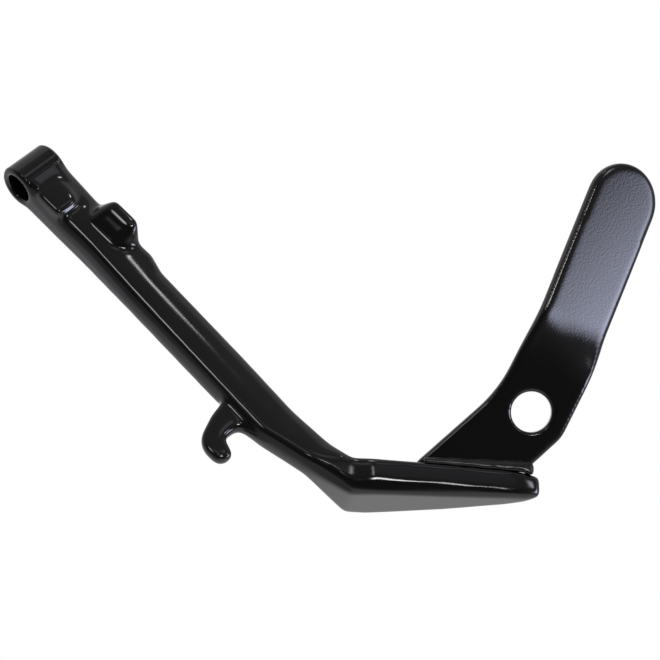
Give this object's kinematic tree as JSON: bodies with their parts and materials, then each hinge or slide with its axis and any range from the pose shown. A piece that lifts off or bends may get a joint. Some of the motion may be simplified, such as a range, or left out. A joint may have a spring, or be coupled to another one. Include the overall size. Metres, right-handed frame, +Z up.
{
  "type": "motorcycle kickstand leg",
  "caption": "Gloss black side stand leg: pivot eye, tapering arm with stop lug and spring hook, wedge foot and a welded, bent boot tang with a round hole.",
  "frame": {"origin": "middle of the pivot bore, on its axis", "axes": "+Z up with the stand deployed and the sole of the foot horizontal; +X along the foot from heel to toe; +Y from the front of the foot to its back, towards the motorcycle"},
  "size_m": [0.306, 0.0936, 0.1846],
  "materials": {
    "forging_coat": "gloss black powder coat",
    "tang_coat": "gloss black powder coat with a light orange peel",
    "weld_coat": "gloss black powder coat over weld ripples"
  },
  "bodies": {
    "root": {"leg_forging": "forging_coat", "foot_tang": "tang_coat", "weld_bead_front": "weld_coat", "weld_bead_rear": "weld_coat"}
  },
  "joints": []
}
